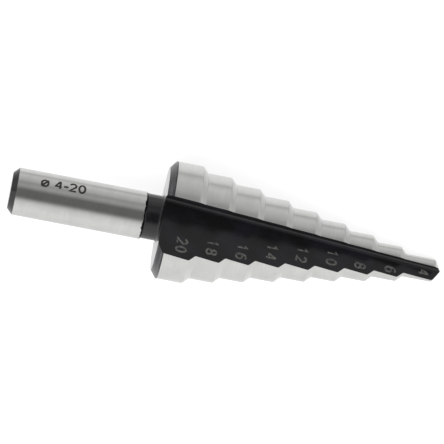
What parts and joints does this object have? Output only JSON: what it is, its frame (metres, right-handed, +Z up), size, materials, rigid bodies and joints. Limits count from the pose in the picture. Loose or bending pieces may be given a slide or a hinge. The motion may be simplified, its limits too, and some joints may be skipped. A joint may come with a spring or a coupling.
{
  "type": "step drill",
  "caption": "Stepped cone drill with two straight flutes, a blackened finish in the flutes, bright ground lands and a plain round shank, for boring holes in sheet.",
  "frame": {"origin": "centre of the bounding box's base, on the surface that the drill lies on", "axes": "+Z up, +X along the drill towards its point as it lies, +Y to the left of the point"},
  "size_m": [0.0726, 0.0198, 0.018],
  "materials": {
    "ground_steel": "ground bright on the shank and the lands, black oxide elsewhere"
  },
  "bodies": {
    "root": {"step_drill": "ground_steel"}
  },
  "joints": []
}
